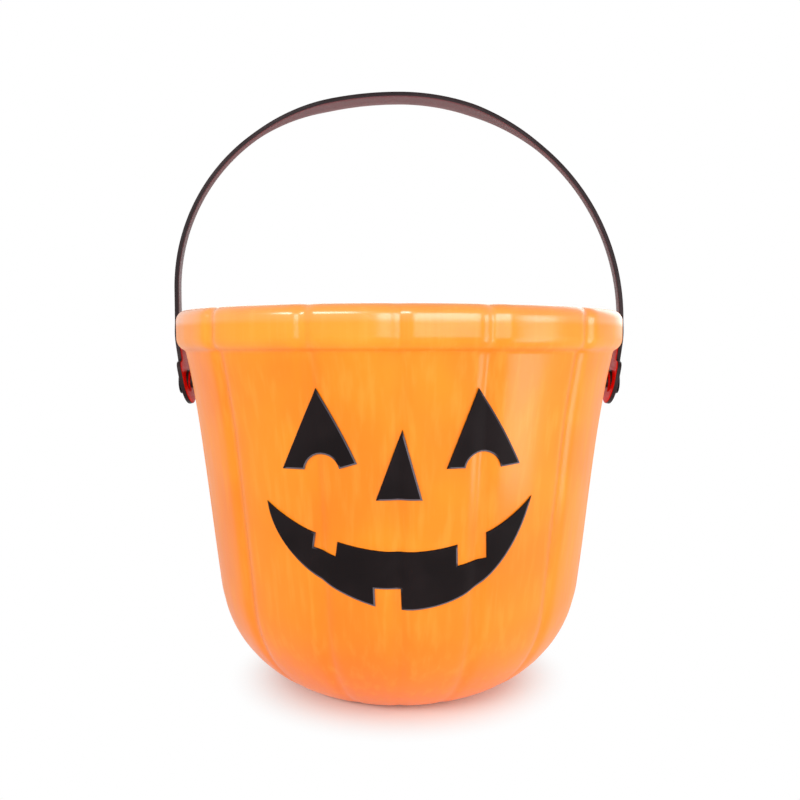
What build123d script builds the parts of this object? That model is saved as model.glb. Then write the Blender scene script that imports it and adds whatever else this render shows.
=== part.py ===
from build123d import *
import os
from math import acos, asin, cos, degrees, radians, sin, sqrt, tan

# Pumpkin candy pail, in millimetres. The origin is the middle of the base on the table, +Z is up,
# the face looks along -Y and the carry strap swings about an axis along X.

# Pail: the lathe shape
RIM_RADIUS = 106.0
PAIL_HEIGHT = 177.0
WALL = 1.5
BASE_RADIUS = 45.5
CORNER_RADIUS = 58.4
WALL_TAPER = 6.83
FLARE = 2.1
FLARE_HEIGHT = 45.0
RIM_BAND_HEIGHT = 18.2
RIM_OVERHANG = 4.1
RIM_LOWER_ROUND = 6.0
RIM_TOP_ROUND = 4.5
LIP_WIDTH = 3.5
STAND_WIDTH = 8.0
BASE_PUSH_UP = 1.5

# Pail: how many sections each stretch of the lathe shape is drawn through
CORNER_STATIONS = 7
STRAIGHT_STATIONS = 3
FLARE_STATIONS = 4
ROUND_STATIONS = 4

# Pail: the pumpkin's lobes, in degrees round from the middle of the front, and the grooves between them
FRONT_LOBE = 20.5
SECOND_LOBE = 27.0
THIRD_LOBE = 27.0
GROOVE_DEPTH = 1.6
BASE_GROOVE_DEPTH = 0.7
RIM_GROOVE_DEPTH = 1.8
GROOVE_RADIUS = 4.0
GROOVE_SHOULDER = 10.0

# Pivots: a snap stud on each side, below the rim, and its cap inside the pail
PIVOT_DROP = 15.0
SEAT_RADIUS = 7.0
SEAT_PROUD = 0.8
SEAT_INSIDE = 1.9
JOURNAL_RADIUS = 3.2
PIN_RADIUS = 2.0
PRESS_CLEARANCE = 0.05
RUNNING_CLEARANCE = 0.08
HEAD_RADIUS = 6.0
HEAD_EDGE = 0.4
HEAD_DOME = 0.7
HEAD_GAP = 0.2
CAP_RADIUS = 6.5
CAP_THICKNESS = 2.4
CAP_CHAMFER = 0.5
BARB_RADIUS = 2.5
BARB_TIP_RADIUS = 1.3
BARB_LENGTH = 1.8
BARB_GAP = 0.1

# Carry strap: a flat moulded bail, wide at the grip, slim in the arms, with a shouldered pad at each end
STRAP_THICKNESS = 2.2
GRIP_WIDTH = 15.0
GRIP_HALF_LENGTH = 36.0
GRIP_TAPER_LENGTH = 32.0
ARM_WIDTH = 6.0
GRIP_BLEND = 40.0
PAD_RADIUS = 11.0
PAD_SHOULDER = 10.0
SHOULDER_ROUND = 3.5
NECK_WIDTH = 12.0
NECK_HEIGHT = 29.0
NECK_FILLET = 1.2
PAD_TILT = 10.0
BEND_ABOVE_PIVOT = 22.0
BEND_RADIUS = 40.0
RIM_CLEARANCE = 0.9
LEG_RUN = 3.8
RIGHT_ARCH_RISE = 107.1
LEFT_ARCH_RISE = 91.8
SHOULDER_TURN = 77.0
EYE_BOSS_RADIUS = 5.5
EYE_BOSS_PROUD = 0.15

# Face: four flat decals, set out on the front elevation as x, z from the middle of the base
DECAL_THICKNESS = 0.8
GLUE_LINE = 0.1
FACE_CENTRE = 1.3
EYE_SPACING = 63.9
EYE_LINE = 112.9
NOSE_BASE_LINE = 100.9
NOSE_HEIGHT = 27.8
NOSE_HALF_WIDTH = 9.1
NOSE_CENTRE = 0.1

# Each eye about its middle: apex, left corner, left end, top and right end of the notch, right corner, bulge
LEFT_EYE = ((-1.6, 31.8), (-15.8, -0.8), (-6.6, -0.6), (0.2, 5.8), (7.4, 0.2), (14.4, 2.4), (5.9, 19.2))
RIGHT_EYE = ((-2.5, 32.0), (-14.7, 0.4), (-7.3, 0.4), (-0.4, 6.7), (7.1, 0.3), (15.2, 1.2), (6.2, 18.4))

# Smile: cubic curves between two tips, each curve with a handle at either end
SMILE_LEFT_TIP = (-53.7, 98.0)
SMILE_RIGHT_TIP = (54.0, 100.1)
UPPER_LIP_HANDLES = ((26.8, -21.5), (-27.7, -29.4))
LOWER_LIP_HANDLES = ((3.1, -26.6), (-6.1, -23.9))
LOWER_LIP_LOW = (1.6, 55.8)
LOWER_LIP_LEVEL_RUNS = (-15.9, 30.8)

# Teeth left orange in the smile, each as the two corners of its tip and its lean from upright
UPPER_TEETH = (((-34.1, 80.6), (-25.2, 77.5), 7.7), ((23.4, 73.7), (35.1, 76.1), -1.5))
LOWER_TEETH = (((-9.7, 64.9), (0.7, 64.5), -2.2),)
TOOTH_ROOT = 20.0

# Sizes that follow from those above
neck_radius = RIM_RADIUS - RIM_OVERHANG
rim_underside = PAIL_HEIGHT - RIM_BAND_HEIGHT
taper = radians(WALL_TAPER)
wall_foot_radius = neck_radius - FLARE - rim_underside * tan(taper)
flare_start = rim_underside - FLARE_HEIGHT
pivot_height = rim_underside - PIVOT_DROP

# The corner arc runs through the edge of the base and is tangent to the straight wall
corner_reach = CORNER_RADIUS / cos(taper)
corner_shift = BASE_RADIUS - wall_foot_radius + corner_reach
corner_rise = sqrt(corner_reach ** 2 - corner_shift ** 2)
corner_height = (corner_shift * tan(taper) + corner_rise) * cos(taper) ** 2
corner_centre = wall_foot_radius + corner_height * tan(taper) - corner_reach

# The lower round of the rim starts where its arc meets the neck
rim_round_centre = RIM_RADIUS - RIM_LOWER_ROUND
rim_round_turn = acos((neck_radius - rim_round_centre) / RIM_LOWER_ROUND)
rim_round_height = rim_underside + RIM_LOWER_ROUND * sin(rim_round_turn)


def spread(first, last, count):
    """Evenly spaced values from first to last, both included."""
    return [first + (last - first) * step / (count - 1) for step in range(count)]


def groove_angles():
    """Grooves in degrees round from the front, alike on the left and right and at the front and back."""
    quarter = (0.0, FRONT_LOBE, FRONT_LOBE + SECOND_LOBE, FRONT_LOBE + SECOND_LOBE + THIRD_LOBE)
    half = sorted(set(quarter) | {180.0 - angle for angle in quarter})
    return half + [360.0 - angle for angle in reversed(half[1:-1])]


def wall_radius(height, inset=0.0):
    """Lobe radius of the wall at a height, on the skin that lies inset inside the outer one."""
    corner_top = corner_height - (CORNER_RADIUS - inset) * sin(taper)
    if height < corner_top:
        return corner_centre + sqrt((CORNER_RADIUS - inset) ** 2 - (corner_height - height) ** 2)
    flare_share = max(0.0, height - flare_start) / FLARE_HEIGHT
    return wall_foot_radius + height * tan(taper) + FLARE * flare_share ** 2 - inset / cos(taper)


def rim_start(inset):
    """Turn of the rim's lower round, from level, at which it meets the neck, and that height."""
    reach = RIM_LOWER_ROUND - inset
    turn = acos((neck_radius - inset - rim_round_centre) / reach)
    return turn, rim_round_height - reach * sin(turn)


def wall_stations(floor, inset):
    """Radius, height and groove depth from the floor up to the rim."""
    reach = CORNER_RADIUS - inset
    first_turn = acos((corner_height - floor) / reach)
    last_turn = radians(90.0 - WALL_TAPER)
    stations = []
    for turn in spread(first_turn, last_turn, CORNER_STATIONS):
        share = (turn - first_turn) / (last_turn - first_turn)
        depth = BASE_GROOVE_DEPTH + share * (GROOVE_DEPTH - BASE_GROOVE_DEPTH)
        stations.append((corner_centre + reach * sin(turn), corner_height - reach * cos(turn), depth))
    top_turn, top = rim_start(inset)
    heights = spread(stations[-1][1], flare_start, STRAIGHT_STATIONS + 1)[1:]
    heights += spread(flare_start, top, FLARE_STATIONS)[1:-1]
    stations += [(wall_radius(height, inset), height, GROOVE_DEPTH) for height in heights]
    stations.append((rim_round_centre + (RIM_LOWER_ROUND - inset) * cos(top_turn), top, GROOVE_DEPTH))
    return stations


def rim_stations(inset):
    """Radius, height and groove depth over the rim band, from its underside to its top."""
    lower = RIM_LOWER_ROUND - inset
    upper = RIM_TOP_ROUND - inset
    first_turn, _ = rim_start(inset)
    stations = []
    for turn in spread(first_turn, 0.0, ROUND_STATIONS):
        share = 1.0 - turn / first_turn
        depth = GROOVE_DEPTH + share * (RIM_GROOVE_DEPTH - GROOVE_DEPTH)
        stations.append((rim_round_centre + lower * cos(turn), rim_round_height - lower * sin(turn), depth))
    top_centre = RIM_RADIUS - RIM_TOP_ROUND
    for turn in spread(0.0, radians(90.0), ROUND_STATIONS):
        height = PAIL_HEIGHT - RIM_TOP_ROUND + upper * sin(turn)
        stations.append((top_centre + upper * cos(turn), height, RIM_GROOVE_DEPTH))
    return stations


def around(angle, radius, height):
    """Point at an angle round from the front, a radius and a height."""
    turn = radians(angle)
    return Vector(radius * sin(turn), -radius * cos(turn), height)


def groove_points(angle, radius, height, depth, inset):
    """Points of one groove, in order: shoulder start, shoulder middle, groove start, bottom, and on."""
    groove = GROOVE_RADIUS + inset
    shoulder = GROOVE_SHOULDER - inset
    groove_centre = radius - depth + groove
    inner = radius - shoulder
    spread_cos = (inner ** 2 + groove_centre ** 2 - (shoulder + groove) ** 2) / (2 * inner * groove_centre)
    reach = degrees(acos(spread_cos))
    middle = around(angle, groove_centre, height)
    points = [around(angle, radius - depth, height)]
    for side in (-1, 1):
        centre = around(angle + side * reach, inner, height)
        outer = around(angle + side * reach, radius, height)
        meet = middle + (centre - middle).normalized() * groove
        half_way = centre + ((outer - centre) + (meet - centre)).normalized() * shoulder
        flank = [outer, half_way, meet]
        points = flank + points if side < 0 else points + flank[::-1]
    return points


def fluted_section(radius, height, depth, inset):
    """Closed outline at one height: lobe, shoulder and groove arcs, each tangent to the next."""
    angles = groove_angles()
    grooves = [groove_points(angle, radius, height, depth, inset) for angle in angles]
    edges = []
    for index, points in enumerate(grooves):
        first, first_mid, enter, bottom, leave, last_mid, last = points
        following = grooves[(index + 1) % len(grooves)]
        next_angle = angles[index + 1] if index + 1 < len(angles) else angles[0] + 360.0
        lobe_top = around((angles[index] + next_angle) / 2, radius, height)
        edges.append(Edge.make_three_point_arc(first, first_mid, enter))
        edges.append(Edge.make_three_point_arc(enter, bottom, leave))
        edges.append(Edge.make_three_point_arc(leave, last_mid, last))
        edges.append(Edge.make_three_point_arc(last, lobe_top, following[0]))
    return Wire(edges)


def fluted_solid(stations, inset):
    """Smooth solid through the sections at these stations."""
    return Solid.make_loft([fluted_section(*station, inset) for station in stations])


def cylinder_along_x(radius, first, last):
    """Round bar on the pivot axis between two x positions."""
    bar = Cylinder(radius, abs(last - first))
    return Pos((first + last) / 2, 0, pivot_height) * Rot(0, 90, 0) * bar


def disc(radius, bottom, top):
    """Upright round disc on the pail's axis."""
    return Pos(0, 0, (bottom + top) / 2) * Cylinder(radius, top - bottom)


def turned_on_pivot(lines):
    """Solid of revolution about the pivot axis, from lines drawn as x and distance from the axis."""
    axis_plane = Plane((0, 0, pivot_height), x_dir=(1, 0, 0), z_dir=(0, -1, 0))
    return revolve(axis_plane * make_face(lines), axis=Axis((0, 0, pivot_height), (1, 0, 0)))


# Places along the pivot axis on the right-hand side, which the left mirrors
seat_outside = wall_radius(pivot_height) + SEAT_PROUD
seat_inside = wall_radius(pivot_height) - WALL - SEAT_INSIDE
cap_face = seat_inside - CAP_THICKNESS
leg_middle = RIM_RADIUS + RIM_CLEARANCE + STRAP_THICKNESS / 2
tilt = radians(PAD_TILT)
pad_middle = leg_middle - BEND_ABOVE_PIVOT * tan(tilt)
eye_boss_half = STRAP_THICKNESS / 2 / cos(tilt) + EYE_BOSS_RADIUS * tan(tilt) + EYE_BOSS_PROUD
head_face = pad_middle + eye_boss_half + HEAD_GAP


def pail_shell():
    """Blow-moulded pail: fluted wall and hollow rim band, flat lip, pushed-up base and two stud seats."""
    outside = fluted_solid(wall_stations(0.0, 0.0), 0.0) + fluted_solid(rim_stations(0.0), 0.0)
    cavity = fluted_solid(wall_stations(WALL, WALL), WALL) + fluted_solid(rim_stations(WALL), WALL)
    mouth = disc(RIM_RADIUS - RIM_TOP_ROUND - LIP_WIDTH, PAIL_HEIGHT - 2 * WALL, PAIL_HEIGHT + WALL)
    shell = outside - cavity - mouth
    push_radius = BASE_RADIUS - STAND_WIDTH
    shell += disc(push_radius + WALL, WALL, WALL + BASE_PUSH_UP)
    shell -= disc(push_radius, -WALL, BASE_PUSH_UP)
    for side in (-1, 1):
        shell += cylinder_along_x(SEAT_RADIUS, side * seat_inside, side * seat_outside)
        shell -= cylinder_along_x(SEAT_RADIUS, side * seat_outside, side * (seat_outside + SEAT_RADIUS))
        shell -= cylinder_along_x(PIN_RADIUS + PRESS_CLEARANCE, side * cap_face, side * head_face)
    return shell


def pivot_stud():
    """Snap stud: domed head, journal that the strap turns on, shouldered pin and barb."""
    barb_back = cap_face - BARB_GAP
    barb_tip = barb_back - BARB_LENGTH
    dome_edge = head_face + HEAD_EDGE
    dome_radius = (HEAD_RADIUS ** 2 + HEAD_DOME ** 2) / (2 * HEAD_DOME)
    dome_centre = dome_edge + HEAD_DOME - dome_radius
    half_turn = asin(HEAD_RADIUS / dome_radius) / 2
    dome_middle = (dome_centre + dome_radius * cos(half_turn), dome_radius * sin(half_turn))
    shank = Polyline(
        (dome_edge + HEAD_DOME, 0.0),
        (barb_tip, 0.0),
        (barb_tip, BARB_TIP_RADIUS),
        (barb_back, BARB_RADIUS),
        (barb_back, PIN_RADIUS),
        (seat_outside, PIN_RADIUS),
        (seat_outside, JOURNAL_RADIUS),
        (head_face, JOURNAL_RADIUS),
        (head_face, HEAD_RADIUS),
        (dome_edge, HEAD_RADIUS),
    )
    dome = ThreePointArc((dome_edge, HEAD_RADIUS), dome_middle, (dome_edge + HEAD_DOME, 0.0))
    return turned_on_pivot([shank, dome])


def stud_cap():
    """Round cap pushed over the stud's barb inside the pail."""
    bore = PIN_RADIUS + PRESS_CLEARANCE
    return turned_on_pivot([Polyline(
        (cap_face, bore),
        (cap_face, CAP_RADIUS - CAP_CHAMFER),
        (cap_face + CAP_CHAMFER, CAP_RADIUS),
        (seat_inside, CAP_RADIUS),
        (seat_inside, bore),
        close=True,
    )])


# Carry strap: heights of its bend, its springs and its crown on the middle line
bend_height = pivot_height + BEND_ABOVE_PIVOT
bend_tangent = BEND_RADIUS * tan(tilt / 2)
right_spring = bend_height + bend_tangent + LEG_RUN
crown_height = right_spring + RIGHT_ARCH_RISE
left_spring = crown_height - LEFT_ARCH_RISE


def arch_half(rise, spring, offset):
    """Points of half an arch beside its middle line, leg to crown: two tangent arcs met at the shoulder."""
    turn = radians(SHOULDER_TURN)
    share = 1.0 - sin(turn) - cos(turn)
    shoulder = (leg_middle * (1.0 - sin(turn)) - rise * cos(turn)) / share
    crown = (rise * (1.0 - cos(turn)) - leg_middle * sin(turn)) / share
    shoulder_x = leg_middle - shoulder
    crown_z = spring + rise - crown

    def on_shoulder(angle):
        return (shoulder_x + (shoulder + offset) * cos(angle), spring + (shoulder + offset) * sin(angle))

    def on_crown(angle):
        return ((crown + offset) * cos(angle), crown_z + (crown + offset) * sin(angle))

    quarter = radians(90.0)
    return (on_shoulder(0.0), on_shoulder(turn / 2), on_shoulder(turn),
            on_crown((turn + quarter) / 2), on_crown(quarter))


def strap_side(rise, spring, offset, side):
    """One side of the strap beside its middle line, from the pad's end to the crown."""
    leg, shoulder_mid, shoulder_end, crown_mid, crown = arch_half(rise, spring, offset)
    bend_x = leg[0] - BEND_RADIUS - offset
    leg_foot = bend_height + bend_tangent

    def on_bend(angle):
        return (bend_x + (BEND_RADIUS + offset) * cos(angle), leg_foot + (BEND_RADIUS + offset) * sin(angle))

    def at(point):
        return (side * point[0], point[1])

    bend_start = on_bend(-tilt)
    pad_length = (bend_start[1] - pivot_height + PAD_RADIUS) / cos(tilt)
    pad_end = (bend_start[0] - pad_length * sin(tilt), bend_start[1] - pad_length * cos(tilt))
    return [
        Line(at(pad_end), at(bend_start)),
        ThreePointArc(at(bend_start), at(on_bend(-tilt / 2)), at(on_bend(0.0))),
        Line(at(on_bend(0.0)), at(leg)),
        ThreePointArc(at(leg), at(shoulder_mid), at(shoulder_end)),
        ThreePointArc(at(shoulder_end), at(crown_mid), at(crown)),
    ]


def strap_band(width):
    """The strap's front view, carried to a width along Y."""
    half = STRAP_THICKNESS / 2
    lines = []
    ends = []
    for offset in (-half, half):
        right = strap_side(RIGHT_ARCH_RISE, right_spring, offset, 1)
        left = strap_side(LEFT_ARCH_RISE, left_spring, offset, -1)
        lines += right + left
        ends.append((right[0] @ 0, left[0] @ 0))
    lines += [Line(ends[0][0], ends[1][0]), Line(ends[0][1], ends[1][1])]
    return extrude(Plane.XZ * make_face(lines), amount=width / 2, both=True)


def pad_outline():
    """Side view of a strap end about its pivot: half round below, square shoulders above, a tapered neck."""
    corner = (PAD_RADIUS - SHOULDER_ROUND, PAD_SHOULDER - SHOULDER_ROUND)
    slant = SHOULDER_ROUND * sin(radians(45.0))
    lines = [
        ThreePointArc((-PAD_RADIUS, 0.0), (0.0, -PAD_RADIUS), (PAD_RADIUS, 0.0)),
        Line((-ARM_WIDTH / 2, NECK_HEIGHT), (ARM_WIDTH / 2, NECK_HEIGHT)),
    ]
    for side in (-1, 1):
        flank_top = (side * PAD_RADIUS, corner[1])
        round_middle = (side * (corner[0] + slant), corner[1] + slant)
        shoulder_start = (side * corner[0], PAD_SHOULDER)
        lines.append(Line((side * PAD_RADIUS, 0.0), flank_top))
        lines.append(ThreePointArc(flank_top, round_middle, shoulder_start))
        lines.append(Polyline(shoulder_start, (side * NECK_WIDTH / 2, PAD_SHOULDER),
                              (side * ARM_WIDTH / 2, NECK_HEIGHT)))
    pad = make_face(lines)
    level = pad.vertices().filter_by_position(Axis.Y, PAD_SHOULDER, PAD_SHOULDER)
    neck_feet = sorted(level, key=lambda vertex: abs(vertex.X))[:2]
    return fillet(neck_feet, NECK_FILLET)


def carry_strap():
    """One-piece bail: wide grip over the crown, slim arms and a tilted pad with an eye at each end."""
    reach = RIM_RADIUS + SEAT_RADIUS + STRAP_THICKNESS
    taper_end = GRIP_HALF_LENGTH + GRIP_TAPER_LENGTH
    grip = Polyline((taper_end, ARM_WIDTH / 2), (GRIP_HALF_LENGTH, GRIP_WIDTH / 2),
                    (-GRIP_HALF_LENGTH, GRIP_WIDTH / 2), (-taper_end, ARM_WIDTH / 2),
                    (-taper_end, -ARM_WIDTH / 2), (-GRIP_HALF_LENGTH, -GRIP_WIDTH / 2),
                    (GRIP_HALF_LENGTH, -GRIP_WIDTH / 2), (taper_end, -ARM_WIDTH / 2), close=True)
    plan = make_face(grip) + Rectangle(2 * reach, ARM_WIDTH)
    plan = fillet([v for v in plan.vertices() if abs(v.X) < reach - ARM_WIDTH], GRIP_BLEND)
    above = crown_height + STRAP_THICKNESS
    bail = strap_band(GRIP_WIDTH) & extrude(Plane.XY * plan, amount=above)

    side_view = Pos(0, pivot_height) * pad_outline()
    pads = strap_band(2 * PAD_RADIUS) & extrude(Plane.YZ * side_view, amount=reach, both=True)
    strap = bail + pads
    eye_radius = JOURNAL_RADIUS + RUNNING_CLEARANCE
    for side in (-1, 1):
        inner = side * (pad_middle - eye_boss_half)
        outer = side * (pad_middle + eye_boss_half)
        strap += cylinder_along_x(EYE_BOSS_RADIUS, inner, outer)
        strap -= cylinder_along_x(eye_radius, side * seat_outside, side * (head_face + HEAD_DOME))
    return strap


def moved(point, step):
    """A point on the front elevation after a step across and up."""
    return (point[0] + step[0], point[1] + step[1])


def eye_outline(centre, points):
    """Leaning triangle with a bulged right side and a round bite out of its lower edge."""
    placed = [moved(point, (centre, EYE_LINE)) for point in points]
    apex, left, notch_left, notch_top, notch_right, right, bulge = placed
    return make_face([
        Polyline(apex, left, notch_left),
        ThreePointArc(notch_left, notch_top, notch_right),
        Line(notch_right, right),
        ThreePointArc(right, bulge, apex),
    ])


def nose_outline():
    """Plain upright triangle."""
    return make_face(Polyline((NOSE_CENTRE - NOSE_HALF_WIDTH, NOSE_BASE_LINE),
                              (NOSE_CENTRE + NOSE_HALF_WIDTH, NOSE_BASE_LINE),
                              (FACE_CENTRE, NOSE_BASE_LINE + NOSE_HEIGHT), close=True))


def tooth(first, second, lean, root):
    """Cut for a tooth: from the corners of its tip along its lean, far enough to run out past the lip."""
    run = (root * tan(radians(lean)), root)
    return make_face(Polyline(first, second, moved(second, run), moved(first, run), close=True))


def mouth_outline():
    """Crescent between an upper and a lower lip, less two upper teeth and one lower tooth."""
    tips = (SMILE_LEFT_TIP, SMILE_RIGHT_TIP)
    upper = [moved(tip, handle) for tip, handle in zip(tips, UPPER_LIP_HANDLES)]
    lower = [moved(tip, handle) for tip, handle in zip(tips, LOWER_LIP_HANDLES)]
    level = [moved(LOWER_LIP_LOW, (run, 0.0)) for run in LOWER_LIP_LEVEL_RUNS]
    smile = make_face([
        Bezier(tips[0], upper[0], upper[1], tips[1]),
        Bezier(tips[0], lower[0], level[0], LOWER_LIP_LOW),
        Bezier(LOWER_LIP_LOW, level[1], lower[1], tips[1]),
    ])
    for first, second, lean in UPPER_TEETH:
        smile -= tooth(first, second, lean, TOOTH_ROOT)
    for first, second, lean in LOWER_TEETH:
        smile -= tooth(first, second, lean, -TOOTH_ROOT)
    return smile


def decal_skin():
    """Even layer over the wall that the decals are cut from."""
    inner = fluted_solid(wall_stations(0.0, -GLUE_LINE), -GLUE_LINE)
    outer_inset = -GLUE_LINE - DECAL_THICKNESS
    outer = fluted_solid(wall_stations(0.0, outer_inset), outer_inset)
    return outer - inner


def decal(outline, skin):
    """Part of the layer that lies behind an outline on the front elevation."""
    return extrude(Plane.XZ * outline, amount=RIM_RADIUS) & skin


def build():
    """Every piece by name."""
    stud = pivot_stud()
    cap = stud_cap()
    skin = decal_skin()
    eye_reach = EYE_SPACING / 2
    return {
        "pail_shell": pail_shell(),
        "carry_strap": carry_strap(),
        "right_pivot_stud": stud,
        "left_pivot_stud": mirror(stud, about=Plane.YZ),
        "right_stud_cap": cap,
        "left_stud_cap": mirror(cap, about=Plane.YZ),
        "left_eye_decal": decal(eye_outline(FACE_CENTRE - eye_reach, LEFT_EYE), skin),
        "right_eye_decal": decal(eye_outline(FACE_CENTRE + eye_reach, RIGHT_EYE), skin),
        "nose_decal": decal(nose_outline(), skin),
        "mouth_decal": decal(mouth_outline(), skin),
    }


os.makedirs("parts", exist_ok=True)
for name, piece in build().items():
    export_step(piece, f"parts/{name}.step")
    print(name, "volume", round(piece.volume, 1))
print("pivot height", round(pivot_height, 2), "crown", round(crown_height + STRAP_THICKNESS / 2, 2))
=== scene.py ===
# %% [markdown]
# A pumpkin candy pail, dressed over its engineering model.
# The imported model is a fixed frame: it says where each piece sits and how the carry strap swings.
# Every shape here is worked out in that frame, in millimetres, and goes into Blender in metres,
# with the middle of the base at the origin, +Z up and the face looking along -Y.

# %% Load the frame
import bpy
import numpy as np
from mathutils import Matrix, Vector, geometry


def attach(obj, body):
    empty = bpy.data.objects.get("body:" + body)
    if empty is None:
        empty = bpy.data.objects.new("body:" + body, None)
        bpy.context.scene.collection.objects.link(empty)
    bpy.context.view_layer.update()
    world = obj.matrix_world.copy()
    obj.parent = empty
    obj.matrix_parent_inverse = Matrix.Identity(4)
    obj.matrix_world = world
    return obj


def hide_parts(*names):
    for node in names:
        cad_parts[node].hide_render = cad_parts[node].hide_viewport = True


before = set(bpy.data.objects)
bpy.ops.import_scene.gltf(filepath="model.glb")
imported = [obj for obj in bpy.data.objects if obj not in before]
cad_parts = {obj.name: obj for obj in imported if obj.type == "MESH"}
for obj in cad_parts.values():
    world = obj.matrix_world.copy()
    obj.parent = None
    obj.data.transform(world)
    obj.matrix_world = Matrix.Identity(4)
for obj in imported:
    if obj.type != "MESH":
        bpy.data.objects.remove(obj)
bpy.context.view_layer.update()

# %% [markdown]
# A shape that is a formula becomes a mesh in three moves: work out all its points as one array,
# number the faces between them, and hand both arrays to Blender at once.
# Modelling by hand would also do, but a formula can be read, checked against the real sizes and changed.

# %% Meshes from arrays
MILLIMETRE = 0.001


def put_mesh(name, points, face_blocks):
    """A smooth object at the origin from points in millimetres and blocks of faces, each block an array
    whose faces all have the same number of corners."""
    corners = np.concatenate([block.ravel() for block in face_blocks]).astype(np.int32)
    sizes = np.concatenate([np.full(len(block), block.shape[1]) for block in face_blocks])
    mesh = bpy.data.meshes.new(name)
    mesh.vertices.add(len(points))
    mesh.vertices.foreach_set("co", (points * MILLIMETRE).astype(np.float32).ravel())
    mesh.loops.add(len(corners))
    mesh.loops.foreach_set("vertex_index", corners)
    mesh.polygons.add(len(sizes))
    mesh.polygons.foreach_set("loop_start", (np.cumsum(sizes) - sizes).astype(np.int32))
    mesh.polygons.foreach_set("use_smooth", np.ones(len(sizes), dtype=bool))
    mesh.update(calc_edges=True)
    mesh.validate()
    piece = bpy.data.objects.new(name, mesh)
    bpy.context.scene.collection.objects.link(piece)
    print(name, "points", len(points), "faces", len(sizes))
    return piece


def grid_quads(rows, columns, wrap_rows=False):
    """Quads between the points of a grid whose last column meets its first; the last row meets the
    first too where wrap_rows is true."""
    index = np.arange(rows * columns).reshape(rows, columns)
    index = np.hstack([index, index[:, :1]])
    if wrap_rows:
        index = np.vstack([index, index[:1]])
    return np.stack([index[:-1, :-1], index[:-1, 1:], index[1:, 1:], index[1:, :-1]], axis=-1).reshape(-1, 4)


def closed_stack(rings, first_pole, last_pole):
    """Points and faces of a stack of rings whose two ends are closed by a fan to a single pole."""
    rows, columns = rings.shape[:2]
    points = np.vstack([rings.reshape(-1, 3), [first_pole, last_pole]])
    here = np.arange(columns)
    following = np.roll(here, -1)
    last_row = (rows - 1) * columns
    first_fan = np.stack([following, here, np.full(columns, rows * columns)], axis=-1)
    last_fan = last_row + np.stack([here, following, np.full(columns, columns + 1)], axis=-1)
    return points, [grid_quads(rows, columns), first_fan, last_fan]


# %% [markdown]
# Pails like this are usually blow moulded: a soft tube of plastic is blown out against a mould, so the
# wall is nearly even, every edge is rounded and the inside repeats the outside.
# It could be a lathe with grooves cut by booleans, but those leave hard, uneven edges.
# Here each level of the pail is one closed outline: arcs for the lobes, a hollow arc in each groove and
# a shoulder arc on each side of it, every arc tangent to the next, as they are on the mould.

# %% Sizes of the pail
RIM_RADIUS = 106.0
PAIL_HEIGHT = 177.0
WALL = 1.5
BASE_RADIUS = 45.5
CORNER_RADIUS = 58.4
TAPER = np.radians(6.83)
FLARE, FLARE_HEIGHT = 2.1, 45.0
RIM_BAND_HEIGHT, RIM_OVERHANG = 18.2, 4.1
RIM_LOWER_ROUND, RIM_TOP_ROUND = 6.0, 4.5
LIP_WIDTH = 3.5
STAND_WIDTH, BASE_PUSH_UP = 8.0, 1.5
FRONT_LOBE, SECOND_LOBE, THIRD_LOBE = 20.5, 27.0, 27.0
GROOVE_DEPTH, BASE_GROOVE_DEPTH, RIM_GROOVE_DEPTH = 1.6, 0.7, 1.8
GROOVE_RADIUS, GROOVE_SHOULDER = 4.0, 10.0

neck_radius = RIM_RADIUS - RIM_OVERHANG
rim_underside = PAIL_HEIGHT - RIM_BAND_HEIGHT
wall_foot = neck_radius - FLARE - rim_underside * np.tan(TAPER)
flare_start = rim_underside - FLARE_HEIGHT
corner_reach = CORNER_RADIUS / np.cos(TAPER)
corner_shift = BASE_RADIUS - wall_foot + corner_reach
corner_rise = np.sqrt(corner_reach ** 2 - corner_shift ** 2)
corner_height = (corner_shift * np.tan(TAPER) + corner_rise) * np.cos(TAPER) ** 2
corner_centre = wall_foot + corner_height * np.tan(TAPER) - corner_reach
rim_round_centre = RIM_RADIUS - RIM_LOWER_ROUND
rim_round_turn = np.arccos((neck_radius - rim_round_centre) / RIM_LOWER_ROUND)
rim_round_height = rim_underside + RIM_LOWER_ROUND * np.sin(rim_round_turn)

quarter = np.cumsum([0.0, FRONT_LOBE, SECOND_LOBE, THIRD_LOBE])
half_round = np.unique(np.concatenate([quarter, 180.0 - quarter]))
grooves = np.radians(np.concatenate([half_round, 360.0 - half_round[-2:0:-1]]))
print("grooves at", np.degrees(grooves).round(1))
print("corner centre", round(corner_centre, 2), round(corner_height, 2))


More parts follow.
